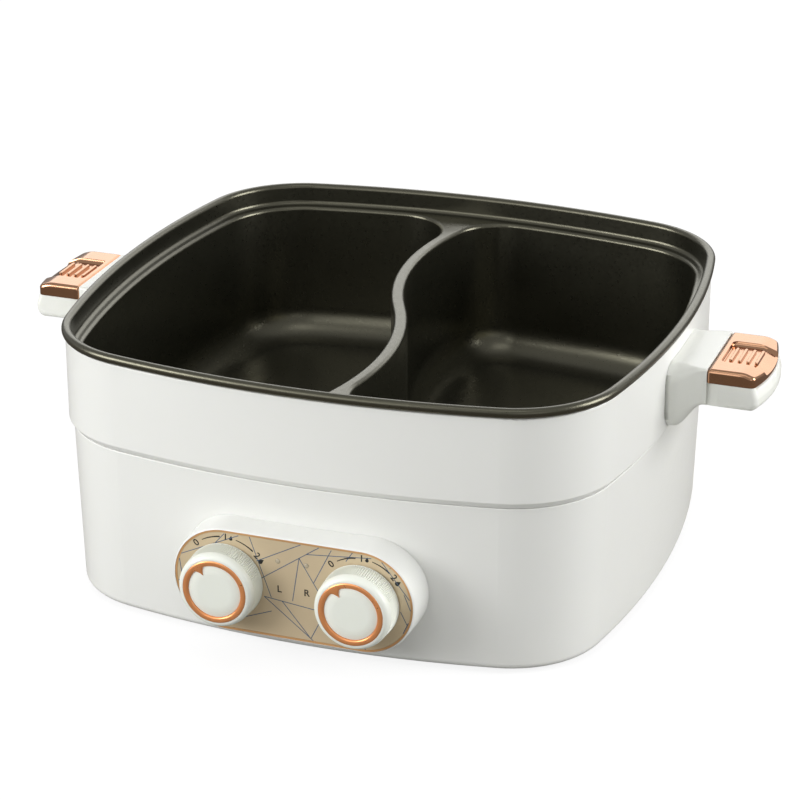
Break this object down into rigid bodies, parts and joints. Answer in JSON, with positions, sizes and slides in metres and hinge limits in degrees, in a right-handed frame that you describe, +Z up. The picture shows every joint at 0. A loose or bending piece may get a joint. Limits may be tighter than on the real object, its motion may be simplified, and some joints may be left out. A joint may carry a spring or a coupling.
{
  "type": "electric hot pot",
  "caption": "Square two-flavour electric hot pot: lift-off pot with an S-shaped divider and two side handles on a heating base with two dials.",
  "frame": {"origin": "on the table, midway between the four feet, under the middle of the body", "axes": "+X to the right from handle to handle, -Y the front with the dials, +Z up"},
  "size_m": [0.4352, 0.3536, 0.154],
  "materials": {
    "nonstick_coating": "satin non-stick coating on die-cast aluminium",
    "white_plastic": "warm white, semi-gloss",
    "copper_plating": "copper-coloured plating",
    "panel_print": "printed beige panel",
    "lamp_lens": "clear lens",
    "foot_rubber": "matt",
    "grey_plastic": "moulded",
    "dark_plastic": "heat-resistant moulding",
    "circuit_board": "lacquered laminate",
    "wire_sleeve": "braided glass sleeve",
    "plated_brass": "plated",
    "cast_aluminium": "cast",
    "copper_tube": "drawn tube",
    "steel": "sheet and wire"
  },
  "bodies": {
    "base": {"base_shell": "white_plastic", "bottom_cover": "grey_plastic", "bottom_screws": "steel", "control_bracket": "steel", "foot_back_left": "foot_rubber", "foot_back_right": "foot_rubber", "foot_front_left": "foot_rubber", "foot_front_right": "foot_rubber", "heat_shield": "steel", "heater_deck": "steel", "heater_plate_left": "cast_aluminium", "heater_plate_right": "cast_aluminium", "heating_tube_left": "steel", "heating_tube_right": "steel", "inlet_pins": "plated_brass", "lamp_board": "circuit_board", "lamp_lens_left": "lamp_lens", "lamp_lens_right": "lamp_lens", "panel_bezel": "white_plastic", "panel_border": "copper_plating", "panel_face": "panel_print", "plate_screws": "steel", "plate_spacers": "steel", "power_inlet": "dark_plastic", "shield_screws": "steel", "temperature_limiter_left": "dark_plastic", "temperature_limiter_right": "dark_plastic", "terminal_block": "dark_plastic", "thermostat_left": "dark_plastic", "thermostat_nuts": "plated_brass", "thermostat_right": "dark_plastic", "thermostat_sensor_left": "copper_tube", "thermostat_sensor_right": "copper_tube", "wire_earth": "wire_sleeve", "wire_heater_left": "wire_sleeve", "wire_heater_right": "wire_sleeve", "wire_live": "wire_sleeve", "wire_neutral": "wire_sleeve", "wire_thermostat_left": "wire_sleeve", "wire_thermostat_right": "wire_sleeve"},
    "pot": {"handle_bracket_left": "steel", "handle_bracket_right": "steel", "handle_cap_left": "copper_plating", "handle_cap_right": "copper_plating", "handle_left": "white_plastic", "handle_right": "white_plastic", "handle_screws": "steel", "inner_pot": "nonstick_coating", "pot_skirt": "white_plastic"},
    "knob_left": {"knob_left": "white_plastic", "knob_ring_left": "copper_plating", "thermostat_shaft_left": "plated_brass"},
    "knob_right": {"knob_right": "white_plastic", "knob_ring_right": "copper_plating", "thermostat_shaft_right": "plated_brass"}
  },
  "joints": [
    {"name": "pot_lift", "type": "slide", "parent": "base", "child": "pot", "axis": [0, 0, 1], "range_m": [0, 0.12]},
    {"name": "knob_left_turn", "type": "hinge", "parent": "base", "child": "knob_left", "pos_m": [-0.035, -0.18, 0.0445], "axis": [0, 1, 0], "range_deg": [0, 95]},
    {"name": "knob_right_turn", "type": "hinge", "parent": "base", "child": "knob_right", "pos_m": [0.041, -0.18, 0.0445], "axis": [0, 1, 0], "range_deg": [0, 95]}
  ]
}
